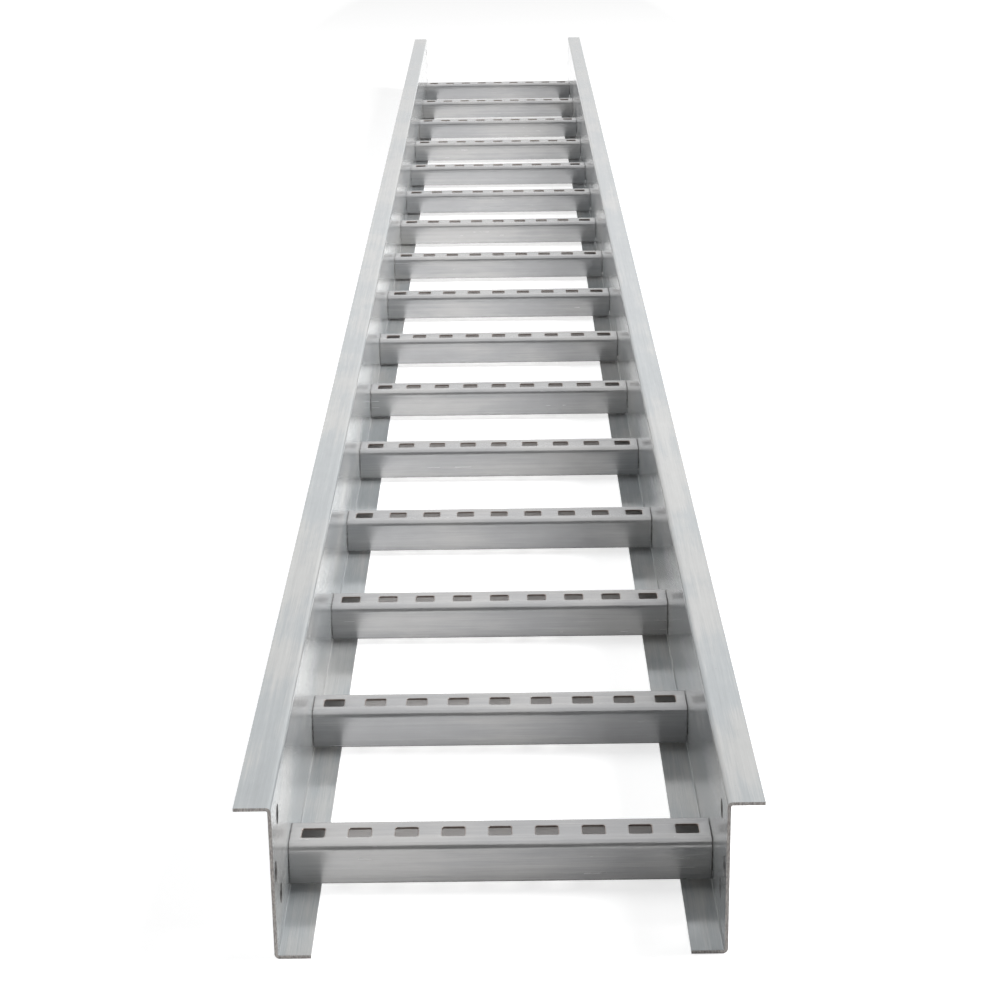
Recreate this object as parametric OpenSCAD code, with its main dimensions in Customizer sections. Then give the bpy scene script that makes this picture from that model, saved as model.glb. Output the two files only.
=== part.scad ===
// Cable ladder section: two Z-section side rails joined by sixteen slotted channel rungs.
// Units are millimetres. X runs across the ladder, Y along it and Z up.
// The origin is on the floor plane, in the middle of the width and of the length.

/* [Side rails] */
// Overall height of a side rail
rail_height = 114.3; // [100:0.1:150]
// Plate thickness of the side rails
rail_thickness = 2.4; // [1.5:0.1:3.5]
// Inside radius of the two bends of a side rail
rail_bend_radius = 1.2; // [0.6:0.1:3.5]
// Width of the outward top flange, taken from the inner face of the web
top_flange_width = 25.4; // [18:0.1:40]
// Width of the inward bottom flange, taken from the outer face of the web
bottom_flange_width = 25; // [18:0.1:40]

/* [Ladder] */
// Clear width between the two webs
inside_width = 304.8; // [250:0.1:460]
// Distance from one rung to the next, centre to centre
rung_spacing = 228.6; // [180:0.1:300]
// Distance from each end of the rails to the centre of the nearest rung
end_margin = 114.3; // [95:0.1:300]
// Height of a rung's lower edge above the end of the bottom bend
rung_lift = 2.3; // [0.5:0.1:6]

/* [Rungs] */
// Size of a rung along the ladder
rung_depth = 40; // [32:0.1:50]
// Height of a rung
rung_height = 30.5; // [20:0.1:40]
// Plate thickness of the rungs
rung_thickness = 1.6; // [1.2:0.1:2.4]
// Outside radius of the two bends of a rung
rung_bend_radius = 5; // [3.5:0.1:6]
// Clearance between the end of a rung and the web
rung_end_clearance = 0.25; // [0.1:0.05:0.3]

/* [Rung slots] */
// Length of a slot, across the ladder
slot_length = 16.5; // [10:0.1:22]
// Width of a slot, along the ladder
slot_width = 14.3; // [8:0.1:18]
// Corner radius of a slot
slot_corner_radius = 1.5; // [0.5:0.1:3]

/* [Splice holes] */
// Diameter of the splice bolt holes in the webs
splice_hole_diameter = 14; // [8:0.1:16]
// Distance from the rail end to the centre of the single middle hole
splice_end_distance = 12.7; // [11:0.1:20]
// Distance from the middle hole to the upper and lower pair, along the rail
splice_pair_distance = 25.4; // [20:0.1:35]
// Height from the middle hole to the upper hole, and down to the lower hole
splice_rise = 30.5; // [20:0.1:31]
// Height of the middle hole above the middle of the web
splice_mid_lift = 3; // [0:0.1:6]

/* [Hidden] */
rung_count = 16;
slots_per_rung = 9;
curve_segments = 48;
cut_margin = 1;
rail_color = [0.76, 0.78, 0.79];
rung_color = [0.74, 0.74, 0.74];
rail_length = 2 * end_margin + (rung_count - 1) * rung_spacing;
half_length = rail_length / 2;
half_width = inside_width / 2;
rung_length = inside_width - 2 * rung_end_clearance;
rung_base = rail_thickness + rail_bend_radius + rung_lift;
slot_spacing = inside_width / slots_per_rung;
splice_mid_height = rail_height / 2 + splice_mid_lift;

// Quarter ring of plate with its centre at the origin, in the quarter of positive x and y.
module bend(inner_radius, thickness) {
    intersection() {
        difference() {
            circle(r = inner_radius + thickness, $fn = curve_segments);
            circle(r = inner_radius, $fn = curve_segments);
        }
        square(inner_radius + thickness + cut_margin);
    }
}

// Rectangle centred on the origin with rounded corners.
module rounded_rectangle(length, width, radius) {
    square([length - 2 * radius, width], center = true);
    square([length, width - 2 * radius], center = true);
    for (x = [-1, 1], y = [-1, 1])
        translate([x * (length / 2 - radius), y * (width / 2 - radius)])
            circle(r = radius, $fn = curve_segments);
}

// Section of the left rail seen from the near end: web between x = -thickness and x = 0.
module rail_section() {
    outer_radius = rail_bend_radius + rail_thickness;
    translate([-rail_thickness, outer_radius])
        square([rail_thickness, rail_height - 2 * outer_radius]);
    translate([-top_flange_width, rail_height - rail_thickness])
        square([top_flange_width - outer_radius, rail_thickness]);
    translate([rail_bend_radius, 0])
        square([bottom_flange_width - outer_radius, rail_thickness]);
    translate([-outer_radius, rail_height - outer_radius])
        bend(rail_bend_radius, rail_thickness);
    translate([rail_bend_radius, outer_radius])
        rotate(180)
            bend(rail_bend_radius, rail_thickness);
}

// Splice holes at one end of a web, drilled along x, with the rail end at y = 0.
module splice_holes() {
    hole_length = 2 * (rail_thickness + cut_margin);
    translate([0, splice_end_distance, splice_mid_height])
        rotate([0, 90, 0])
            cylinder(d = splice_hole_diameter, h = hole_length, center = true, $fn = curve_segments);
    for (side = [-1, 1])
        translate([0, splice_end_distance + splice_pair_distance, splice_mid_height + side * splice_rise])
            rotate([0, 90, 0])
                cylinder(d = splice_hole_diameter, h = hole_length, center = true, $fn = curve_segments);
}

// Left rail with the inner face of its web at x = 0.
module rail() {
    difference() {
        rotate([90, 0, 0])
            linear_extrude(height = rail_length, center = true)
                rail_section();
        for (end = [0, 1])
            mirror([0, end, 0])
                translate([-rail_thickness / 2, -half_length, 0])
                    splice_holes();
    }
}

// Section of a rung seen from the right, standing on z = 0 and centred on the origin.
module rung_section() {
    inner_radius = rung_bend_radius - rung_thickness;
    for (side = [0, 1])
        mirror([side, 0]) {
            translate([rung_depth / 2 - rung_thickness, 0])
                square([rung_thickness, rung_height - rung_bend_radius]);
            translate([rung_depth / 2 - rung_bend_radius, rung_height - rung_bend_radius])
                bend(inner_radius, rung_thickness);
        }
    translate([rung_bend_radius - rung_depth / 2, rung_height - rung_thickness])
        square([rung_depth - 2 * rung_bend_radius, rung_thickness]);
}

// One rung, centred on the origin, with its slots through the top face.
module rung() {
    difference() {
        rotate([90, 0, 90])
            linear_extrude(height = rung_length, center = true)
                rung_section();
        for (i = [0 : slots_per_rung - 1])
            translate([(i - (slots_per_rung - 1) / 2) * slot_spacing, 0, rung_height - rung_thickness - cut_margin])
                linear_extrude(height = rung_thickness + 2 * cut_margin)
                    rounded_rectangle(slot_length, slot_width, slot_corner_radius);
    }
}

// Rung by its number, counted from the near end.
module placed_rung(number) {
    color(rung_color)
        translate([0, end_margin - half_length + (number - 1) * rung_spacing, rung_base])
            rung();
}

module left_rail() {
    color(rail_color)
        translate([-half_width, 0, 0])
            rail();
}

module right_rail() {
    color(rail_color)
        mirror([1, 0, 0])
            translate([-half_width, 0, 0])
                rail();
}

left_rail();
right_rail();
placed_rung(1);  // rung_01
placed_rung(2);  // rung_02
placed_rung(3);  // rung_03
placed_rung(4);  // rung_04
placed_rung(5);  // rung_05
placed_rung(6);  // rung_06
placed_rung(7);  // rung_07
placed_rung(8);  // rung_08
placed_rung(9);  // rung_09
placed_rung(10);  // rung_10
placed_rung(11);  // rung_11
placed_rung(12);  // rung_12
placed_rung(13);  // rung_13
placed_rung(14);  // rung_14
placed_rung(15);  // rung_15
placed_rung(16);  // rung_16
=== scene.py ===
import math

import bmesh
import bpy
from mathutils import Matrix, Vector


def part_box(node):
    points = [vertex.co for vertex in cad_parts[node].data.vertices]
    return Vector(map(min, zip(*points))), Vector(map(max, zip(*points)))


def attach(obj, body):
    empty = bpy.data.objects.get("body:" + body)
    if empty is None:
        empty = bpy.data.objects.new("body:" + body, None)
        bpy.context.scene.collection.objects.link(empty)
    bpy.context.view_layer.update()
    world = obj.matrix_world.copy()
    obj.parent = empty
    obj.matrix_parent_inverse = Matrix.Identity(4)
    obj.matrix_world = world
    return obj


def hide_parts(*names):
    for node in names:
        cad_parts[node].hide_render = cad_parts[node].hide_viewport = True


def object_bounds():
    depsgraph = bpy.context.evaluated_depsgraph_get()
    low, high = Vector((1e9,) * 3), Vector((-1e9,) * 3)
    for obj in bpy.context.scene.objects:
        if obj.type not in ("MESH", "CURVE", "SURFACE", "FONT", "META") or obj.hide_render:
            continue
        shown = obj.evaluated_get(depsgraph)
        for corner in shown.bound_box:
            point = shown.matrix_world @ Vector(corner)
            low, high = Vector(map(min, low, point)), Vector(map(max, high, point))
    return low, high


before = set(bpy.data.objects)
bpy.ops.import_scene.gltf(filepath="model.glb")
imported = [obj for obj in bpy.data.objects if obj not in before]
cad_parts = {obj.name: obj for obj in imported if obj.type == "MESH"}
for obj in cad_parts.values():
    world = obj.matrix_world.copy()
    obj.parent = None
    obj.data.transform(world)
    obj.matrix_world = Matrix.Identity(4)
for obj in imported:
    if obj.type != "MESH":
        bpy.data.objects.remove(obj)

bl_info = {
    "name": "Cable Ladder Section",
    "version": (1, 0, 0),
    "blender": (4, 5, 0),
    "location": "3D View > Sidebar > Cable Ladder",
    "description": "Finishes, slotted rungs, weld beads and studio for a straight cable ladder section",
    "category": "Object",
}

CAD_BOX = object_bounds()
RAILS = sorted(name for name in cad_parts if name.endswith("_rail"))
RUNGS = sorted(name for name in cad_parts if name.startswith("rung_"))
RUNG_LOW, RUNG_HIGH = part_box("rung_01")
HALF_LENGTH = CAD_BOX[1].y
RUNG_HALF = RUNG_HIGH.x
RUNG_DEPTH = RUNG_HIGH.y - RUNG_LOW.y
RUNG_HEIGHT = RUNG_HIGH.z - RUNG_LOW.z
FIRST_RUNG = (RUNG_LOW.y + RUNG_HIGH.y) / 2
RUNG_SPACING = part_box("rung_02")[0].y - RUNG_LOW.y
END_CLEARANCE = 0.00025
INSIDE_HALF = RUNG_HALF + END_CLEARANCE

# Sizes that the boxes of the nodes do not give, as in the part's source, in metres
SLOT_COUNT = 9
SLOT_PITCH = 2 * INSIDE_HALF / SLOT_COUNT
SLOT_LENGTH = 0.0165
SLOT_WIDTH = 0.0143
SLOT_CORNER = 0.0015
RUNG_PLATE = 0.0016
BEND_RADIUS = 0.005
SPLICE_MIDDLE = 0.06015
SPLICE_RISE = 0.0305
SPLICE_FIRST = 0.0127
SPLICE_SECOND = 0.0381
SPLICE_RADIUS = 0.007

# How the visible rungs sit between the webs, in metres
RUNG_TRIM = 0.0003
RUNG_SHIFT = -0.00012
RUNG_STRAY = 0.00004

# Where the weld beads stand in the corners of the rungs, in metres
BEAD_INSET = 0.0008
BEAD_RISE = 0.006

# Share of bare metal in each finish; the rest is dull oxide
RAIL_METALLIC = 0.38
RUNG_METALLIC = 0.6

# Tones that only one finish uses
SCRATCH_TONE = (0.8, 0.8, 0.8, 1.0)
SAWN_DARK = (0.27, 0.25, 0.24, 1.0)
SAWN_LIGHT = (0.46, 0.43, 0.41, 1.0)

# Studio: reach of the floor and of the flag, and levels of the glow, where 1 is white
FLOOR_REACH = 14.0
FLAG_HALF = 5.0
FLAG_PLACE = -4.6
FLAG_FOOT = 0.02
FLAG_TOP = 6.0
FLOOR_GLOW = 0.66
ROOM_LIGHT = 0.2
WHITE = 1.0

# Points nearer than this are one corner, in metres
MERGE = 0.000005


# Node tree helpers

def put(tree, kind, **settings):
    node = tree.nodes.new(kind)
    for key, value in settings.items():
        setattr(node, key, value)
    return node


def feed(tree, socket, source):
    if isinstance(source, bpy.types.NodeSocket):
        tree.links.new(source, socket)
    elif source is not None:
        socket.default_value = source


def maths(tree, operation, *values):
    node = put(tree, "ShaderNodeMath", operation=operation)
    for socket, value in zip(node.inputs, values):
        feed(tree, socket, value)
    return node.outputs[0]


def times(tree, first, second):
    return maths(tree, "MULTIPLY", first, second)


def plus(tree, first, second):
    return maths(tree, "ADD", first, second)


def less(tree, first, second):
    return maths(tree, "SUBTRACT", first, second)


def larger(tree, first, second):
    return maths(tree, "MAXIMUM", first, second)


def smaller(tree, first, second):
    return maths(tree, "MINIMUM", first, second)


def unsigned(tree, value):
    return maths(tree, "ABSOLUTE", value)


def axes_of(tree, position):
    node = put(tree, "ShaderNodeSeparateXYZ")
    feed(tree, node.inputs[0], position)
    return node.outputs


def span_of(tree, vector):
    node = put(tree, "ShaderNodeVectorMath", operation="LENGTH")
    feed(tree, node.inputs[0], vector)
    return node.outputs["Value"]


def ramp(tree, value, low, high, start=0.0, end=1.0):
    node = put(tree, "ShaderNodeMapRange", interpolation_type="SMOOTHSTEP")
    for socket, part in zip(node.inputs, (value, low, high, start, end)):
        feed(tree, socket, part)
    return node.outputs[0]


def tint(tree, factor, first, second):
    node = put(tree, "ShaderNodeMix", data_type="RGBA")
    feed(tree, node.inputs[0], factor)
    feed(tree, node.inputs[6], first)
    feed(tree, node.inputs[7], second)
    return node.outputs[2]


def stretched(tree, position, scale, offset=(0.0, 0.0, 0.0)):
    node = put(tree, "ShaderNodeMapping", vector_type="POINT")
    feed(tree, node.inputs["Vector"], position)
    node.inputs["Scale"].default_value = scale
    node.inputs["Location"].default_value = offset
    return node.outputs[0]


def noise(tree, vector, scale, detail=2.0, roughness=0.5):
    node = put(tree, "ShaderNodeTexNoise", noise_dimensions="3D")
    feed(tree, node.inputs["Vector"], vector)
    node.inputs["Scale"].default_value = scale
    node.inputs["Detail"].default_value = detail
    node.inputs["Roughness"].default_value = roughness
    return node.outputs["Fac"]


def new_group(name, inputs, outputs):
    tree = bpy.data.node_groups.new(name, "ShaderNodeTree")
    for label, kind, value in inputs:
        socket = tree.interface.new_socket(label, in_out="INPUT", socket_type=kind)
        if value is not None:
            socket.default_value = value
    for label, kind in outputs:
        tree.interface.new_socket(label, in_out="OUTPUT", socket_type=kind)
    return tree, put(tree, "NodeGroupInput"), put(tree, "NodeGroupOutput")


def use_group(tree, group, **values):
    node = put(tree, "ShaderNodeGroup", node_tree=group)
    for label, value in values.items():
        feed(tree, node.inputs[label.replace("_", " ")], value)
    return node


def principled(name):
    material = bpy.data.materials.new(name)
    material.use_nodes = True
    tree = material.node_tree
    shader = next(n for n in tree.nodes if n.type == "BSDF_PRINCIPLED")
    position = put(tree, "ShaderNodeTexCoord").outputs["Object"]
    return material, tree, shader, position


# Shared finishes

def mill_finish_group():
    """Grain drawn along y, cloudy tone, smudges, fine scratches and small specks."""
    tree, source, sink = new_group(
        "Mill Finish",
        [("Along", "NodeSocketVector", None),
         ("Base", "NodeSocketColor", (0.5, 0.5, 0.5, 1.0)),
         ("Dull", "NodeSocketColor", (0.45, 0.47, 0.5, 1.0)),
         ("Stain", "NodeSocketColor", (0.2, 0.19, 0.18, 1.0)),
         ("Grain", "NodeSocketFloat", 0.1),
         ("Clouds", "NodeSocketFloat", 0.1),
         ("Polish", "NodeSocketFloat", 0.2)],
        [("Color", "NodeSocketColor"), ("Roughness", "NodeSocketFloat"), ("Height", "NodeSocketFloat")])
    along = source.outputs["Along"]
    fine = noise(tree, stretched(tree, along, (1.0, 0.02, 1.0)), 1300.0, 3.0, 0.6)
    broad = noise(tree, stretched(tree, along, (1.0, 0.012, 1.0), (3.1, 0.0, 1.7)), 260.0, 2.0)
    clouds = noise(tree, stretched(tree, along, (1.0, 0.4, 1.0), (0.7, 2.3, 5.1)), 17.0, 3.0, 0.55)
    smudges = noise(tree, stretched(tree, along, (1.0, 0.5, 1.0), (4.2, 7.7, 0.4)), 110.0, 3.0, 0.6)
    specks = noise(tree, stretched(tree, along, (1.0, 0.6, 1.0), (9.0, 4.0, 2.0)), 520.0, 1.0)
    speck_mask = ramp(tree, specks, 0.78, 0.86)
    turned = put(tree, "ShaderNodeMapping")
    feed(tree, turned.inputs["Vector"], along)
    turned.inputs["Rotation"].default_value = (0.0, 0.0, 0.55)
    turned.inputs["Scale"].default_value = (1.0, 0.015, 1.0)
    hair = noise(tree, turned.outputs[0], 900.0, 0.0)
    nearby = noise(tree, stretched(tree, along, (1.0, 1.0, 1.0), (2.0, 6.0, 3.0)), 26.0, 1.0)
    hair_mask = times(tree, ramp(tree, hair, 0.74, 0.80), ramp(tree, nearby, 0.56, 0.66))
    grain = plus(tree, times(tree, fine, 0.5), times(tree, broad, 0.5))
    centred = less(tree, grain, 0.5)
    cloudy = less(tree, plus(tree, times(tree, clouds, 0.65),
                                           times(tree, smudges, 0.35)), 0.5)
    shade = plus(tree, times(tree, centred, source.outputs["Grain"]),
                  times(tree, cloudy, source.outputs["Clouds"]))
    body = tint(tree, ramp(tree, plus(tree, clouds, times(tree, centred, 0.6)), 0.40, 0.62),
                source.outputs["Dull"], source.outputs["Base"])
    scaled = put(tree, "ShaderNodeVectorMath", operation="SCALE")
    feed(tree, scaled.inputs[0], body)
    feed(tree, scaled.inputs["Scale"], plus(tree, shade, 1.0))
    marked = tint(tree, times(tree, speck_mask, 0.45), scaled.outputs[0], source.outputs["Stain"])
    colour = tint(tree, times(tree, hair_mask, 0.12), marked, SCRATCH_TONE)
    feed(tree, sink.inputs["Color"], colour)
    rough = plus(tree, source.outputs["Polish"], times(tree, centred, 0.3))
    rough = plus(tree, rough, times(tree, cloudy, 0.25))
    rough = plus(tree, rough, times(tree, hair_mask, 0.1))
    feed(tree, sink.inputs["Roughness"], larger(tree, rough, 0.08))
    feed(tree, sink.inputs["Height"], less(tree, grain, times(tree, hair_mask, 0.08)))
    return tree


def rung_place(tree, position):
    """y measured from the nearest rung's middle, and z from the rungs' lower edge."""
    axes = axes_of(tree, position)
    from_rung = less(tree, axes[1], FIRST_RUNG - RUNG_SPACING / 2)
    wrapped = put(tree, "ShaderNodeMath", operation="FLOORED_MODULO")
    feed(tree, wrapped.inputs[0], from_rung)
    wrapped.inputs[1].default_value = RUNG_SPACING
    return axes[0], less(tree, wrapped.outputs[0], RUNG_SPACING / 2), \
        less(tree, axes[2], RUNG_LOW[2])


def rounded_box_distance(tree, u, v, half_u, half_v, radius):
    """Distance from the outline of a rounded rectangle centred on zero, negative inside."""
    over_u = less(tree, unsigned(tree, u), half_u - radius)
    over_v = less(tree, unsigned(tree, v), half_v - radius)
    out_u, out_v = larger(tree, over_u, 0.0), larger(tree, over_v, 0.0)
    outside = maths(tree, "SQRT", plus(tree, times(tree, out_u, out_u), times(tree, out_v, out_v)))
    inside = smaller(tree, larger(tree, over_u, over_v), 0.0)
    return less(tree, plus(tree, outside, inside), radius)


def joint_grime_and_shade_group():
    """Dark line where the rung ends meet the webs: painted shade of the fine joint, with grime in it."""
    tree, source, sink = new_group(
        "Joint Grime And Shade",
        [("Position", "NodeSocketVector", None), ("Width", "NodeSocketFloat", 0.0004)],
        [("Mask", "NodeSocketFloat")])
    _, along, up = rung_place(tree, source.outputs["Position"])
    width = source.outputs["Width"]
    from_middle = less(tree, up, RUNG_HEIGHT / 2)
    distance = rounded_box_distance(tree, along, from_middle, RUNG_DEPTH / 2, RUNG_HEIGHT / 2, BEND_RADIUS)
    band = ramp(tree, unsigned(tree, distance), times(tree, width, 0.4), width, 1.0, 0.0)
    feed(tree, sink.inputs["Mask"], times(tree, band, ramp(tree, up, 0.0, 0.002)))
    return tree


def cut_end_group():
    """Darker sawn faces at both ends of the rails, with fine saw marks."""
    tree, source, sink = new_group("Sawn End", [("Position", "NodeSocketVector", None)],
                                   [("Mask", "NodeSocketFloat"), ("Marks", "NodeSocketFloat")])
    axes = axes_of(tree, source.outputs["Position"])
    reach = less(tree, HALF_LENGTH, unsigned(tree, axes[1]))
    uneven = noise(tree, source.outputs["Position"], 700.0, 2.0)
    edge = plus(tree, reach, times(tree, less(tree, uneven, 0.5), -0.0008))
    feed(tree, sink.inputs["Mask"], ramp(tree, edge, 0.0, 0.0003, 1.0, 0.0))
    upright = stretched(tree, source.outputs["Position"], (1.0, 1.0, 0.3))
    feed(tree, sink.inputs["Marks"], noise(tree, upright, 1400.0, 2.0))
    return tree


def hole_wall_shade_group():
    """Walls of the splice holes at both ends of the rails, darkened: painted shade inside the holes."""
    tree, source, sink = new_group("Hole Wall Shade", [("Position", "NodeSocketVector", None)],
                                   [("Mask", "NodeSocketFloat")])
    axes = axes_of(tree, source.outputs["Position"])
    inward = less(tree, HALF_LENGTH, unsigned(tree, axes[1]))
    rise = unsigned(tree, less(tree, axes[2], SPLICE_MIDDLE))
    reaches = []
    for from_end, up in ((SPLICE_FIRST, 0.0), (SPLICE_SECOND, SPLICE_RISE)):
        flat = vector(tree, less(tree, inward, from_end), less(tree, rise, up))
        reaches.append(span_of(tree, flat))
    nearest = smaller(tree, *reaches)
    mask = ramp(tree, nearest, SPLICE_RADIUS + 0.0001, SPLICE_RADIUS + 0.0006, 1.0, 0.0)
    feed(tree, sink.inputs["Mask"], mask)
    return tree


def slot_rim_group():
    """Rolled, slightly scorched rim round every slot."""
    tree, source, sink = new_group("Slot Rim", [("Position", "NodeSocketVector", None)],
                                   [("Rim", "NodeSocketFloat"), ("Wall", "NodeSocketFloat")])
    across, along, up = rung_place(tree, source.outputs["Position"])
    wrapped = maths(tree, "FLOORED_MODULO", plus(tree, across, SLOT_PITCH * 0.5), SLOT_PITCH)
    column = less(tree, wrapped, SLOT_PITCH * 0.5)
    distance = rounded_box_distance(tree, column, along, SLOT_LENGTH / 2, SLOT_WIDTH / 2, SLOT_CORNER)
    top = ramp(tree, up, RUNG_HEIGHT - 0.0022, RUNG_HEIGHT - 0.0018)
    ring = ramp(tree, distance, 0.0004, 0.0011, 1.0, 0.0)
    feed(tree, sink.inputs["Rim"], times(tree, ring, top))
    wall = times(tree, ramp(tree, distance, 0.0001, 0.0003, 1.0, 0.0), top)
    feed(tree, sink.inputs["Wall"], wall)
    return tree


def shared(name, maker):
    return bpy.data.node_groups.get(name) or maker()


def finished_metal(name, look, colour, dull, polish, across):
    """Mill finish aluminium with its grain along y, or along x where across is True."""
    material, tree, shader, position = principled(name)
    along = position
    if across:
        turn = put(tree, "ShaderNodeMapping")
        feed(tree, turn.inputs["Vector"], position)
        turn.inputs["Rotation"].default_value = (0.0, 0.0, math.pi / 2)
        along = turn.outputs[0]
    surface = use_group(tree, shared("Mill Finish", mill_finish_group), Along=along,
                        Base=(*colour, 1.0), Dull=(*dull, 1.0), Stain=(*look.stain_and_shade_colour, 1.0),
                        Polish=polish, Grain=look.grain, Clouds=look.clouds)
    shader.inputs["Metallic"].default_value = RUNG_METALLIC if across else RAIL_METALLIC
    bump = put(tree, "ShaderNodeBump")
    bump.inputs["Strength"].default_value = 1.0
    bump.inputs["Distance"].default_value = 0.00025
    feed(tree, shader.inputs["Normal"], bump.outputs[0])
    return material, tree, shader, position, surface, bump


def rail_material(look):
    material, tree, shader, position, surface, bump = finished_metal(
        "Rail Aluminium", look, look.rail_colour, look.rail_dull, look.rail_polish, False)
    stain_and_shade = (*look.stain_and_shade_colour, 1.0)
    joint_grime_and_shade = use_group(tree, shared("Joint Grime And Shade", joint_grime_and_shade_group), Position=position)
    sawn = use_group(tree, shared("Sawn End", cut_end_group), Position=position)
    # Painted shade with grime in the joints round the rung ends, tinted towards the stain colour
    colour = tint(tree, times(tree, joint_grime_and_shade.outputs["Mask"], 0.8), surface.outputs["Color"], stain_and_shade)
    # Painted shade on the walls of the splice holes
    hole_shade = use_group(tree, shared("Hole Wall Shade", hole_wall_shade_group), Position=position)
    colour = tint(tree, times(tree, hole_shade.outputs["Mask"], 0.7), colour, stain_and_shade)
    sawn_tone = tint(tree, ramp(tree, sawn.outputs["Marks"], 0.35, 0.65), SAWN_DARK, SAWN_LIGHT)
    colour = tint(tree, sawn.outputs["Mask"], colour, sawn_tone)
    feed(tree, shader.inputs["Base Color"], colour)
    worn = larger(tree, joint_grime_and_shade.outputs["Mask"], sawn.outputs["Mask"])
    rough = plus(tree, surface.outputs["Roughness"], times(tree, worn, 0.3))
    feed(tree, shader.inputs["Roughness"], rough)
    height = plus(tree, surface.outputs["Height"], times(tree, sawn.outputs["Marks"], sawn.outputs["Mask"]))
    feed(tree, bump.inputs["Height"], height)
    return material


def rung_material(look):
    material, tree, shader, position, surface, bump = finished_metal(
        "Rung Aluminium", look, look.rung_colour, look.rung_dull, look.rung_polish, True)
    stain_and_shade = (*look.stain_and_shade_colour, 1.0)
    scorched = (*look.rim_colour, 1.0)
    rim = use_group(tree, shared("Slot Rim", slot_rim_group), Position=position)
    axes = axes_of(tree, position)
    # Painted shade of the joint: the rung ends darken towards the stain colour, and the lower edges of the legs
    # are darker too
    end = ramp(tree, unsigned(tree, axes[0]), RUNG_HALF - 0.0009, RUNG_HALF - 0.0005)
    lip = ramp(tree, less(tree, axes[2], RUNG_LOW[2]), 0.0004, 0.0011, 1.0, 0.0)
    uneven = ramp(tree, noise(tree, position, 160.0, 2.0), 0.3, 0.6, 0.25, 1.0)
    edges = times(tree, larger(tree, times(tree, end, 0.6), times(tree, lip, 0.6)), uneven)
    # Painted light: the faces inside the channel are lightened towards the inside light colour
    _, along, up = rung_place(tree, position)
    reach = larger(tree, less(tree, unsigned(tree, along), RUNG_DEPTH / 2), less(tree, up, RUNG_HEIGHT))
    inside = ramp(tree, reach, -RUNG_PLATE, -RUNG_PLATE * 0.9, 1.0, 0.0)
    lit_inside = tint(tree, times(tree, inside, 0.9), surface.outputs["Color"], (*look.inside_light_colour, 1.0))
    colour = tint(tree, edges, lit_inside, stain_and_shade)
    scorch = times(tree, rim.outputs["Rim"], ramp(tree, uneven, 0.25, 1.0, 0.2, 0.55))
    colour = tint(tree, scorch, colour, scorched)
    colour = tint(tree, times(tree, rim.outputs["Wall"], 0.75), colour, scorched)
    feed(tree, shader.inputs["Base Color"], colour)
    worn = larger(tree, edges, rim.outputs["Wall"])
    feed(tree, shader.inputs["Roughness"], plus(tree, surface.outputs["Roughness"], times(tree, worn, 0.25)))
    feed(tree, bump.inputs["Height"], surface.outputs["Height"])
    return material


def weld_material(look):
    material, tree, shader, position = principled("Weld Bead")
    ripple = noise(tree, position, 900.0, 3.0, 0.6)
    soot = ramp(tree, noise(tree, position, 220.0, 2.0), 0.4, 0.65)
    colour = tint(tree, times(tree, soot, 0.6), (*look.rung_colour, 1.0), (*look.stain_and_shade_colour, 1.0))
    feed(tree, shader.inputs["Base Color"], colour)
    feed(tree, shader.inputs["Roughness"], ramp(tree, ripple, 0.3, 0.7, 0.3, 0.6))
    shader.inputs["Metallic"].default_value = RUNG_METALLIC
    bump = put(tree, "ShaderNodeBump")
    bump.inputs["Strength"].default_value = 0.6
    bump.inputs["Distance"].default_value = 0.0001
    feed(tree, bump.inputs["Height"], ripple)
    feed(tree, shader.inputs["Normal"], bump.outputs[0])
    return material


def dress(obj, material):
    obj.data.materials.clear()
    obj.data.materials.append(material)


# Slotted rungs and weld beads, made by geometry nodes

def new_geometry_tree(name, inputs):
    tree = bpy.data.node_groups.new(name, "GeometryNodeTree")
    for label, kind, value in inputs:
        socket = tree.interface.new_socket(label, in_out="INPUT", socket_type=kind)
        if value is not None:
            socket.default_value = value
    tree.interface.new_socket("Geometry", in_out="OUTPUT", socket_type="NodeSocketGeometry")
    return tree, put(tree, "NodeGroupInput"), put(tree, "NodeGroupOutput")


def vector(tree, x=0.0, y=0.0, z=0.0):
    node = put(tree, "ShaderNodeCombineXYZ")
    for socket, value in zip(node.inputs, (x, y, z)):
        feed(tree, socket, value)
    return node.outputs[0]


def moved(tree, geometry, translation=None, rotation=None, scale=None):
    node = put(tree, "GeometryNodeTransform")
    feed(tree, node.inputs["Geometry"], geometry)
    for label, value in (("Translation", translation), ("Rotation", rotation), ("Scale", scale)):
        feed(tree, node.inputs[label], value)
    return node.outputs[0]


def joined(tree, *parts):
    node = put(tree, "GeometryNodeJoinGeometry")
    for part in reversed(parts):
        tree.links.new(part, node.inputs[0])
    return node.outputs[0]


def compare(tree, value, operation, limit):
    node = put(tree, "FunctionNodeCompare", data_type="FLOAT", operation=operation)
    feed(tree, node.inputs[0], value)
    feed(tree, node.inputs[1], limit)
    return node.outputs[0]


def both(tree, first, second):
    node = put(tree, "FunctionNodeBooleanMath", operation="AND")
    feed(tree, node.inputs[0], first)
    feed(tree, node.inputs[1], second)
    return node.outputs[0]


def part_of(tree, vector_socket, axis):
    node = put(tree, "ShaderNodeSeparateXYZ")
    feed(tree, node.inputs[0], vector_socket)
    return node.outputs[axis]


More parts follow.
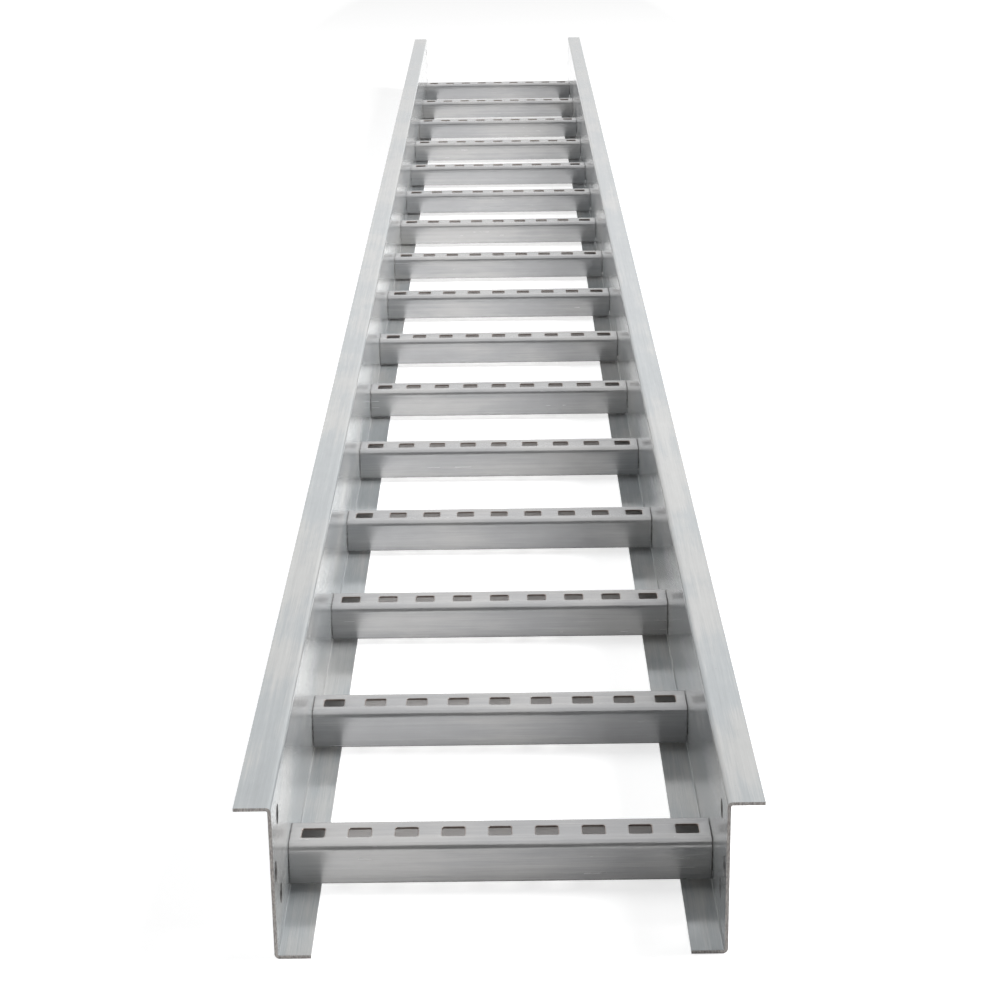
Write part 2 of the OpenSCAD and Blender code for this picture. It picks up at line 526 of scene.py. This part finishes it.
def outline(tree, corners, radii, segments):
    """Closed curve through the corners, each rounded by its own radius."""
    count = len(corners)
    dots = put(tree, "GeometryNodePoints")
    dots.inputs["Count"].default_value = count
    index = put(tree, "GeometryNodeInputIndex").outputs[0]
    choices = []
    for kind, values in (("VECTOR", corners), ("FLOAT", radii), ("INT", segments)):
        switch = put(tree, "GeometryNodeIndexSwitch", data_type=kind)
        while len(switch.index_switch_items) < count:
            switch.index_switch_items.new()
        feed(tree, switch.inputs["Index"], index)
        for socket, value in zip(switch.inputs[1:], values):
            feed(tree, socket, value)
        choices.append(switch.outputs[0])
    feed(tree, dots.inputs["Position"], choices[0])
    curve = put(tree, "GeometryNodePointsToCurves")
    feed(tree, curve.inputs["Points"], dots.outputs[0])
    closed = put(tree, "GeometryNodeSetSplineCyclic")
    feed(tree, closed.inputs["Geometry"], curve.outputs[0])
    closed.inputs["Cyclic"].default_value = True
    rounded = put(tree, "GeometryNodeFilletCurve", mode="POLY")
    feed(tree, rounded.inputs["Curve"], closed.outputs[0])
    feed(tree, rounded.inputs["Count"], choices[2])
    feed(tree, rounded.inputs["Radius"], choices[1])
    return rounded.outputs[0]


def filled(tree, curve, mode="TRIANGLES"):
    node = put(tree, "GeometryNodeFillCurve", mode=mode)
    feed(tree, node.inputs["Curve"], curve)
    return node.outputs[0]


def slotted_rung_tree():
    """Channel bent from plate, with a row of punched slots whose rims are rolled over."""
    tree, source, sink = new_geometry_tree("Slotted Rung", [
        ("Length", "NodeSocketFloat", 0.3043), ("Depth", "NodeSocketFloat", 0.04),
        ("Height", "NodeSocketFloat", 0.0305), ("Thickness", "NodeSocketFloat", 0.0016),
        ("Bend Radius", "NodeSocketFloat", 0.005), ("Edge Radius", "NodeSocketFloat", 0.0002),
        ("Slot Count", "NodeSocketInt", 9), ("Slot Pitch", "NodeSocketFloat", 0.0339),
        ("Slot Length", "NodeSocketFloat", 0.0165), ("Slot Width", "NodeSocketFloat", 0.0143),
        ("Slot Corner", "NodeSocketFloat", 0.0015), ("Rim Radius", "NodeSocketFloat", 0.0004),
        ("Place", "NodeSocketVector", (0.0, 0.0, 0.0)), ("Finish", "NodeSocketMaterial", None)])
    size = source.outputs
    half = times(tree, size["Depth"], 0.5)
    inner = less(tree, half, size["Thickness"])
    under = less(tree, size["Height"], size["Thickness"])
    tight = less(tree, size["Bend Radius"], size["Thickness"])
    flat = less(tree, half, size["Bend Radius"])

    def minus(value):
        return times(tree, value, -1.0)

    section = outline(
        tree,
        [vector(tree, half, 0.0),
         vector(tree, half, size["Height"]),
         vector(tree, minus(half), size["Height"]),
         vector(tree, minus(half), 0.0),
         vector(tree, minus(inner), 0.0),
         vector(tree, minus(inner), under),
         vector(tree, inner, under),
         vector(tree, inner, 0.0)],
        [size["Edge Radius"], size["Bend Radius"], size["Bend Radius"], size["Edge Radius"],
         size["Edge Radius"], tight, tight, size["Edge Radius"]],
        [2, 12, 12, 2, 2, 12, 12, 2])
    cap = filled(tree, section, "NGONS")
    push = put(tree, "GeometryNodeExtrudeMesh", mode="FACES")
    feed(tree, push.inputs["Mesh"], cap)
    push.inputs["Individual"].default_value = False
    feed(tree, push.inputs["Offset"], vector(tree, 0.0, 0.0, 1.0))
    feed(tree, push.inputs["Offset Scale"], size["Length"])
    prism = joined(tree, push.outputs["Mesh"], cap)
    prism = moved(tree, prism, vector(tree, minus(times(tree, size["Length"], 0.5))),
                  (math.pi / 2, 0.0, math.pi / 2))
    normal = put(tree, "GeometryNodeInputNormal").outputs[0]
    place = put(tree, "GeometryNodeInputPosition").outputs[0]
    level = compare(tree, unsigned(tree, part_of(tree, normal, 2)), "GREATER_THAN", 0.999)
    centred = compare(tree, unsigned(tree, part_of(tree, place, 1)), "LESS_THAN", 0.001)
    cut = put(tree, "GeometryNodeDeleteGeometry", domain="FACE")
    feed(tree, cut.inputs["Geometry"], prism)
    feed(tree, cut.inputs["Selection"], both(tree, level, centred))

    # Rim of one slot: rolled top edge and straight wall
    path = put(tree, "GeometryNodeCurvePrimitiveQuadrilateral")
    feed(tree, path.inputs["Width"], size["Slot Length"])
    feed(tree, path.inputs["Height"], size["Slot Width"])
    soft = put(tree, "GeometryNodeFilletCurve", mode="POLY")
    feed(tree, soft.inputs["Curve"], path.outputs[0])
    soft.inputs["Count"].default_value = 6
    feed(tree, soft.inputs["Radius"], size["Slot Corner"])
    rim_profile = put(tree, "GeometryNodeCurveArc", mode="RADIUS")
    rim_profile.inputs["Resolution"].default_value = 5
    feed(tree, rim_profile.inputs["Radius"], size["Rim Radius"])
    rim_profile.inputs["Start Angle"].default_value = math.pi
    rim_profile.inputs["Sweep Angle"].default_value = math.pi / 2
    roll = moved(tree, rim_profile.outputs[0], vector(tree, size["Rim Radius"], size["Rim Radius"]))
    wall = put(tree, "GeometryNodeCurvePrimitiveLine")
    feed(tree, wall.inputs["Start"], vector(tree, 0.0, size["Rim Radius"]))
    feed(tree, wall.inputs["End"], vector(tree, 0.0, size["Thickness"]))
    swept = []
    for profile in (roll, wall.outputs[0]):
        sweep = put(tree, "GeometryNodeCurveToMesh")
        feed(tree, sweep.inputs["Curve"], soft.outputs[0])
        feed(tree, sweep.inputs["Profile Curve"], profile)
        swept.append(sweep.outputs[0])
    weld = put(tree, "GeometryNodeMergeByDistance")
    feed(tree, weld.inputs["Geometry"], joined(tree, *swept))
    weld.inputs["Distance"].default_value = MERGE
    row = put(tree, "GeometryNodeMeshLine", mode="OFFSET")
    feed(tree, row.inputs["Count"], size["Slot Count"])
    feed(tree, row.inputs["Offset"], vector(tree, size["Slot Pitch"]))
    span = times(tree, less(tree, size["Slot Count"], 1.0), size["Slot Pitch"])
    feed(tree, row.inputs["Start Location"], vector(tree, times(tree, span, -0.5)))
    copies = put(tree, "GeometryNodeInstanceOnPoints")
    feed(tree, copies.inputs["Points"], row.outputs[0])
    feed(tree, copies.inputs["Instance"], weld.outputs[0])
    rims = put(tree, "GeometryNodeRealizeInstances")
    feed(tree, rims.inputs[0], copies.outputs[0])
    rims = rims.outputs[0]

    # Flat faces above and below, cut along the rims
    border = put(tree, "GeometryNodeCurvePrimitiveQuadrilateral")
    feed(tree, border.inputs["Width"], size["Length"])
    feed(tree, border.inputs["Height"], times(tree, flat, 2.0))
    open_edge = compare(tree, put(tree, "GeometryNodeInputMeshEdgeNeighbors").outputs[0], "EQUAL", 1.0)
    middle = times(tree, size["Thickness"], -0.5)
    faces = []
    for operation, height in (("GREATER_THAN", size["Height"]), ("LESS_THAN", under)):
        loops = put(tree, "GeometryNodeMeshToCurve")
        feed(tree, loops.inputs["Mesh"], rims)
        side = compare(tree, part_of(tree, place, 2), operation, middle)
        feed(tree, loops.inputs["Selection"], both(tree, open_edge, side))
        sheet = filled(tree, joined(tree, border.outputs[0], loops.outputs[0]))
        faces.append(moved(tree, sheet, vector(tree, 0.0, 0.0, height)))
    rims = moved(tree, rims, vector(tree, 0.0, 0.0, size["Height"]))
    close = put(tree, "GeometryNodeMergeByDistance")
    feed(tree, close.inputs["Geometry"], joined(tree, cut.outputs[0], rims, *faces))
    close.inputs["Distance"].default_value = MERGE
    placed = moved(tree, close.outputs[0], size["Place"])
    real = put(tree, "GeometryNodeRealizeInstances")
    feed(tree, real.inputs[0], placed)
    paint = put(tree, "GeometryNodeSetMaterial")
    feed(tree, paint.inputs["Geometry"], real.outputs[0])
    feed(tree, paint.inputs["Material"], size["Finish"])
    feed(tree, sink.inputs[0], paint.outputs[0])
    return tree


def weld_bead_tree():
    """Short rippled beads that stand in the corners between the rungs' sides and the webs."""
    tree, source, sink = new_geometry_tree("Weld Beads", [
        ("Bead Length", "NodeSocketFloat", 0.015), ("Bead Radius", "NodeSocketFloat", 0.0017),
        ("Ripple", "NodeSocketFloat", 0.12), ("Across", "NodeSocketFloat", 0.151),
        ("Along", "NodeSocketFloat", 0.0177), ("Rung Count", "NodeSocketInt", 16),
        ("Rung Spacing", "NodeSocketFloat", 0.2286), ("Start", "NodeSocketVector", (0.0, 0.0, 0.0)),
        ("Seed", "NodeSocketInt", 7), ("Finish", "NodeSocketMaterial", None)])
    size = source.outputs
    line = put(tree, "GeometryNodeCurvePrimitiveLine")
    feed(tree, line.inputs["End"], vector(tree, 0.0, 0.0, size["Bead Length"]))
    steps = put(tree, "GeometryNodeResampleCurve")
    feed(tree, steps.inputs["Curve"], line.outputs[0])
    steps.inputs["Count"].default_value = 22
    share = put(tree, "GeometryNodeSplineParameter").outputs["Factor"]
    wave = unsigned(tree, maths(tree, "SINE", times(tree, share, 26.0)))
    taper = maths(tree, "POWER", maths(tree, "SINE", times(tree, share, math.pi)), 0.3)
    swell = plus(tree, times(tree, wave, size["Ripple"]), 1.0)
    radius = times(tree, times(tree, swell, taper), size["Bead Radius"])
    girth = larger(tree, radius, 0.0003)
    ring = put(tree, "GeometryNodeCurvePrimitiveCircle", mode="RADIUS")
    ring.inputs["Resolution"].default_value = 8
    ring.inputs["Radius"].default_value = 1.0
    sweep = put(tree, "GeometryNodeCurveToMesh")
    sized = put(tree, "GeometryNodeSetCurveRadius")
    feed(tree, sized.inputs["Curve"], steps.outputs[0])
    feed(tree, sized.inputs["Radius"], girth)
    feed(tree, sweep.inputs["Curve"], sized.outputs[0])
    feed(tree, sweep.inputs["Profile Curve"], ring.outputs[0])
    feed(tree, sweep.inputs["Scale"], girth)
    sweep.inputs["Fill Caps"].default_value = True
    rows = put(tree, "GeometryNodeMeshLine", mode="OFFSET")
    feed(tree, rows.inputs["Count"], size["Rung Count"])
    feed(tree, rows.inputs["Offset"], vector(tree, 0.0, size["Rung Spacing"]))
    feed(tree, rows.inputs["Start Location"], size["Start"])
    corners = []
    for side in (-1.0, 1.0):
        for face in (-1.0, 1.0):
            across = times(tree, size["Across"], side)
            shift = vector(tree, across, times(tree, size["Along"], face))
            corners.append(moved(tree, rows.outputs[0], shift))
    chance = put(tree, "FunctionNodeRandomValue", data_type="FLOAT")
    chance.inputs[2].default_value = 0.82
    chance.inputs[3].default_value = 1.08
    feed(tree, chance.inputs["Seed"], size["Seed"])
    copies = put(tree, "GeometryNodeInstanceOnPoints")
    feed(tree, copies.inputs["Points"], joined(tree, *corners))
    feed(tree, copies.inputs["Instance"], sweep.outputs[0])
    feed(tree, copies.inputs["Scale"], vector(tree, 1.0, 1.0, chance.outputs[1]))
    real = put(tree, "GeometryNodeRealizeInstances")
    feed(tree, real.inputs[0], copies.outputs[0])
    paint = put(tree, "GeometryNodeSetMaterial")
    feed(tree, paint.inputs["Geometry"], real.outputs[0])
    feed(tree, paint.inputs["Material"], size["Finish"])
    feed(tree, sink.inputs[0], paint.outputs[0])
    return tree


def grown(name, tree, **sizes):
    """Runs a geometry tree with these sizes and returns a plain mesh object, its faces turned outwards."""
    seed = bpy.data.objects.new(name + "_seed", bpy.data.meshes.new(name + "_seed"))
    bpy.context.scene.collection.objects.link(seed)
    modifier = seed.modifiers.new("Make", "NODES")
    modifier.node_group = tree
    sockets = {item.name: item.identifier for item in tree.interface.items_tree if item.in_out == "INPUT"}
    for label, value in sizes.items():
        modifier[sockets[label.replace("_", " ")]] = value
    graph = bpy.context.evaluated_depsgraph_get()
    made = seed.evaluated_get(graph)
    mesh = bpy.data.meshes.new_from_object(made, preserve_all_data_layers=True, depsgraph=graph)
    seed.modifiers.remove(modifier)
    bpy.data.objects.remove(seed)
    mesh.name = name
    shape = bmesh.new()
    shape.from_mesh(mesh)
    bmesh.ops.remove_doubles(shape, verts=shape.verts, dist=0.000002)
    bmesh.ops.recalc_face_normals(shape, faces=shape.faces)
    for edge in shape.edges:
        edge.smooth = len(edge.link_faces) == 2 and edge.calc_face_angle() < math.radians(25)
    for face in shape.faces:
        face.smooth = True
    shape.to_mesh(mesh)
    shape.free()
    finish = sizes["Finish"]
    mesh.materials.clear()
    mesh.materials.append(finish)
    mesh.polygons.foreach_set("material_index", [0] * len(mesh.polygons))
    obj = bpy.data.objects.new(name, mesh)
    bpy.context.scene.collection.objects.link(obj)
    return obj


# Settings

def colour_setting(name, description, default):
    return bpy.props.FloatVectorProperty(
        name=name, description=description, default=default, subtype="COLOR", size=3, min=0.0, max=1.0)


def share_setting(name, description, default):
    return bpy.props.FloatProperty(name=name, description=description, default=default, min=0.0, max=1.0)


def length_setting(name, description, default, low, high):
    return bpy.props.FloatProperty(
        name=name, description=description, default=default, unit="LENGTH", min=low, max=high)


def angle_setting(name, description, default):
    return bpy.props.FloatProperty(name=name, description=description, default=default, subtype="ANGLE")


def power_setting(name, description, default):
    return bpy.props.FloatProperty(name=name, description=description, default=default, unit="POWER", min=0.0)


class LadderFinish(bpy.types.PropertyGroup):
    rail_colour: colour_setting("Rail colour", "Bare aluminium of the side rails", (0.5, 0.503, 0.497))
    rail_dull: colour_setting("Rail dull colour", "Duller, cooler patches of the rails", (0.44, 0.464, 0.476))
    rung_colour: colour_setting("Rung colour", "Bare aluminium of the rungs", (0.495, 0.492, 0.488))
    rung_dull: colour_setting("Rung dull colour", "Duller patches of the rungs", (0.44, 0.442, 0.448))
    # Painted light: a lighter tone for the faces inside the rungs, seen through the slots
    inside_light_colour: colour_setting("Inside light colour", "Cleaner faces inside the rungs", (0.72, 0.70, 0.69))
    # Colour of the specks and the weld soot, and of the painted shade in the joints, the splice holes and at
    # the rung ends
    stain_and_shade_colour: colour_setting("Stain and shade colour", "Specks, and grime in the joints", (0.07, 0.06, 0.055))
    rim_colour: colour_setting("Slot rim colour", "Sheared walls and rims of the slots", (0.24, 0.19, 0.165))
    rail_polish: share_setting("Rail roughness", "Mean roughness of the rails", 0.13)
    rung_polish: share_setting("Rung roughness", "Mean roughness of the rungs", 0.19)
    grain: share_setting("Grain", "Tone of the drawn grain", 0.38)
    clouds: share_setting("Clouds", "Tone of the cloudy patches", 0.3)
    edge_radius: length_setting("Edge radius", "Broken edges at the feet of the rungs", 0.0002, 0.00005, 0.0007)
    rim_radius: length_setting("Rim radius", "Roll-over of the punched slots", 0.0004, 0.0001, 0.001)
    bead_length: length_setting("Weld bead length", "Length of the weld beads", 0.015, 0.005, 0.02)
    bead_radius: length_setting("Weld bead radius", "Radius of the weld beads", 0.0018, 0.001, 0.003)


class StudioSettings(bpy.types.PropertyGroup):
    focal_length: bpy.props.FloatProperty(
        name="Focal length", description="Lens of the studio camera in millimetres",
        default=82.99, min=20.0, max=200.0)
    pitch: angle_setting("Camera pitch", "Angle of the camera below the horizon", 0.33515)
    yaw: angle_setting("Camera yaw", "Turn of the camera to the left", 0.00303)
    roll: angle_setting("Camera roll", "Roll of the camera about its view", -0.01382)
    place: bpy.props.FloatVectorProperty(
        name="Camera place", description="Place of the camera", subtype="XYZ", unit="LENGTH", size=3,
        default=(0.00762, -3.21287, 0.81183))
    key_power: power_setting("Key light", "Power of the key light", 150.0)
    fill_power: power_setting("Fill light", "Power of the fill light", 50.0)
    floor_colour: colour_setting("Floor colour", "Pale studio floor", (0.75, 0.75, 0.75))
    flag_colour: colour_setting("Flag colour", "Dark flag that the near faces mirror", (0.25, 0.25, 0.25))


# Operators

class LADDER_OT_finish_rails(bpy.types.Operator):
    """Gives both side rails their drawn mill finish, sawn ends, painted shade with grime in the joints, and
    painted shade in the splice holes
    """
    bl_idname = "ladder.finish_rails"
    bl_label = "Finish the rails"

    def execute(self, context):
        material = rail_material(context.scene.ladder_finish)
        for name in RAILS:
            dress(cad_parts[name], material)
        return {"FINISHED"}


class LADDER_OT_make_rungs(bpy.types.Operator):
    """Makes the slotted channel rungs with rolled slot rims, in place of the plain ones"""
    bl_idname = "ladder.make_rungs"
    bl_label = "Make the rungs"

    def execute(self, context):
        look = context.scene.ladder_finish
        material = rung_material(look)
        tree = slotted_rung_tree()
        for number, node in enumerate(RUNGS):
            low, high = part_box(node)
            shift = RUNG_SHIFT + RUNG_STRAY * math.sin(2.4 * number)
            piece = grown("Slotted_" + node.capitalize(), tree,
                          Length=2 * RUNG_HALF - RUNG_TRIM, Depth=RUNG_DEPTH, Height=RUNG_HEIGHT,
                          Thickness=RUNG_PLATE, Bend_Radius=BEND_RADIUS, Edge_Radius=look.edge_radius,
                          Slot_Count=SLOT_COUNT, Slot_Pitch=SLOT_PITCH, Slot_Length=SLOT_LENGTH,
                          Slot_Width=SLOT_WIDTH, Slot_Corner=SLOT_CORNER, Rim_Radius=look.rim_radius,
                          Place=(shift, (low.y + high.y) / 2, low.z), Finish=material)
            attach(piece, "root")
            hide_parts(node)
        return {"FINISHED"}


class LADDER_OT_weld_rungs(bpy.types.Operator):
    """Lays the short weld beads inside the rungs, where they meet the webs"""
    bl_idname = "ladder.weld_rungs"
    bl_label = "Weld the rungs"

    def execute(self, context):
        look = context.scene.ladder_finish
        piece = grown("Weld_Beads", weld_bead_tree(),
                      Bead_Length=look.bead_length, Bead_Radius=look.bead_radius, Ripple=0.12,
                      Across=INSIDE_HALF - BEAD_INSET, Along=RUNG_DEPTH / 2 - RUNG_PLATE - BEAD_INSET,
                      Rung_Count=len(RUNGS), Rung_Spacing=RUNG_SPACING,
                      Start=(0.0, FIRST_RUNG, RUNG_LOW.z + BEAD_RISE), Seed=7, Finish=weld_material(look))
        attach(piece, "root")
        return {"FINISHED"}


def panel_light(name, place, target, size, power):
    data = bpy.data.lights.new(name, "AREA")
    data.shape = "RECTANGLE"
    data.size, data.size_y = size
    data.energy = power
    lamp = bpy.data.objects.new(name, data)
    aim = (Vector(target) - Vector(place)).to_track_quat("-Z", "Y").to_matrix().to_4x4()
    lamp.matrix_world = Matrix.Translation(place) @ aim
    bpy.context.scene.collection.objects.link(lamp)


def card(name, corners, material, seen=True):
    mesh = bpy.data.meshes.new(name)
    mesh.from_pydata(corners, [], [tuple(range(len(corners)))])
    mesh.materials.append(material)
    obj = bpy.data.objects.new(name, mesh)
    obj.visible_camera = seen
    bpy.context.scene.collection.objects.link(obj)


def shown_white(tree):
    """1 on the rays that show the backdrop: straight, mirrored and through glass."""
    path = put(tree, "ShaderNodeLightPath")
    seen = larger(tree, path.outputs["Is Camera Ray"], path.outputs["Is Glossy Ray"])
    return larger(tree, seen, path.outputs["Is Transmission Ray"])


def matt(name, colour):
    material, tree, shader, position = principled(name)
    shader.inputs["Base Color"].default_value = (*colour, 1.0)
    shader.inputs["Roughness"].default_value = 0.9
    return material, tree, shader, position


def floor_glow(tree, place):
    """White away from the ladder. Near it, the mirrored level is lower, and lowest at the near right: painted
    shade in the floor's glow, which the metal mirrors as a shadow.
    """
    path = put(tree, "ShaderNodeLightPath")
    mirrored = larger(tree, path.outputs["Is Glossy Ray"], path.outputs["Is Transmission Ray"])
    axes = axes_of(tree, place)
    # Painted shade: the glow seen in mirrors is lower at the near end and on the right
    across = ramp(tree, axes[0], -0.15, 0.15, 0.3, -0.05)
    painted_side_shade = times(tree, across, ramp(tree, axes[1], -1.5, 0.3, 1.0, 0.0))
    lift = plus(tree, ramp(tree, axes[1], -1.5, 0.9, 0.2, 0.85), painted_side_shade)
    near = plus(tree, times(tree, path.outputs["Is Camera Ray"], FLOOR_GLOW), times(tree, mirrored, lift))
    reach = span_of(tree, stretched(tree, place, (1.0, 0.15, 0.0)))
    away = ramp(tree, reach, 0.25, 0.9)
    return larger(tree, near, times(tree, shown_white(tree), away))


def studio_floor(studio):
    material, tree, shader, place = matt("Studio Floor", studio.floor_colour)
    shader.inputs["Specular IOR Level"].default_value = 0.0
    output = next(node for node in tree.nodes if node.type == "OUTPUT_MATERIAL")
    glow = put(tree, "ShaderNodeEmission")
    mix = put(tree, "ShaderNodeAddShader")
    feed(tree, glow.inputs["Strength"], floor_glow(tree, place))
    feed(tree, mix.inputs[0], shader.outputs[0])
    feed(tree, mix.inputs[1], glow.outputs[0])
    feed(tree, output.inputs["Surface"], mix.outputs[0])
    reach = FLOOR_REACH
    corners = [(-reach, -reach, 0), (reach, -reach, 0), (reach, reach, 0), (-reach, reach, 0)]
    card("Studio_Floor", corners, material)


def studio_flag(studio):
    """Dark card behind the camera, which the rungs' faces mirror."""
    material = matt("Dark Flag", studio.flag_colour)[0]
    corners = [(-FLAG_HALF, FLAG_PLACE, FLAG_FOOT), (FLAG_HALF, FLAG_PLACE, FLAG_FOOT),
               (FLAG_HALF, FLAG_PLACE, FLAG_TOP), (-FLAG_HALF, FLAG_PLACE, FLAG_TOP)]
    card("Studio_Flag_Near", corners, material, seen=False)


def studio_world(scene):
    world = bpy.data.worlds.new("Studio World")
    scene.world = world
    world.use_nodes = True
    tree = world.node_tree
    sky = next(node for node in tree.nodes if node.type == "BACKGROUND")
    sky.inputs["Color"].default_value = (1.0, 1.0, 1.0, 1.0)
    feed(tree, sky.inputs["Strength"], ramp(tree, shown_white(tree), 0.0, 1.0, ROOM_LIGHT, WHITE))


def studio_camera(scene, studio):
    data = bpy.data.cameras.new("Studio Camera")
    data.sensor_width = 36.0
    data.lens = studio.focal_length
    data.clip_start, data.clip_end = 0.05, 100.0
    camera = bpy.data.objects.new("Studio Camera", data)
    heading = Matrix.Rotation(studio.yaw, 4, "Z")
    tilt = Matrix.Rotation(math.pi / 2 - studio.pitch, 4, "X")
    turn = Matrix.Rotation(studio.roll, 4, "Z")
    camera.matrix_world = Matrix.Translation(studio.place) @ heading @ tilt @ turn
    scene.collection.objects.link(camera)
    scene.camera = camera


class LADDER_OT_studio(bpy.types.Operator):
    """Lays the pale floor, hangs the soft lights and places the camera"""
    bl_idname = "ladder.studio"
    bl_label = "Set up the studio"

    def execute(self, context):
        scene = context.scene
        studio = scene.ladder_studio
        scene.view_settings.view_transform = "Standard"
        studio_floor(studio)
        studio_flag(studio)
        studio_world(scene)
        panel_light("Key Light", (2.4, -0.8, 1.9), (0.0, -0.6, 0.0), (2.0, 2.6), studio.key_power)
        panel_light("Fill Light", (-2.4, -0.4, 1.9), (0.0, -0.2, 0.0), (2.0, 2.6), studio.fill_power)
        studio_camera(scene, studio)
        return {"FINISHED"}


class LADDER_PT_panel(bpy.types.Panel):
    """Lists the steps that dress the cable ladder"""
    bl_idname = "LADDER_PT_panel"
    bl_label = "Cable Ladder"
    bl_space_type = "VIEW_3D"
    bl_region_type = "UI"
    bl_category = "Cable Ladder"

    def draw(self, context):
        for step in STEPS:
            self.layout.operator(step.bl_idname)
        for name in LadderFinish.__annotations__:
            self.layout.prop(context.scene.ladder_finish, name)
        for name in StudioSettings.__annotations__:
            self.layout.prop(context.scene.ladder_studio, name)


STEPS = (LADDER_OT_finish_rails, LADDER_OT_make_rungs, LADDER_OT_weld_rungs, LADDER_OT_studio)
CLASSES = (LadderFinish, StudioSettings, *STEPS, LADDER_PT_panel)


def register():
    for item in CLASSES:
        bpy.utils.register_class(item)
    bpy.types.Scene.ladder_finish = bpy.props.PointerProperty(type=LadderFinish)
    bpy.types.Scene.ladder_studio = bpy.props.PointerProperty(type=StudioSettings)


def unregister():
    del bpy.types.Scene.ladder_studio
    del bpy.types.Scene.ladder_finish
    for item in reversed(CLASSES):
        bpy.utils.unregister_class(item)


def main():
    register()
    bpy.ops.ladder.finish_rails()
    bpy.ops.ladder.make_rungs()
    bpy.ops.ladder.weld_rungs()
    bpy.ops.ladder.studio()


if __name__ == "__main__":
    main()
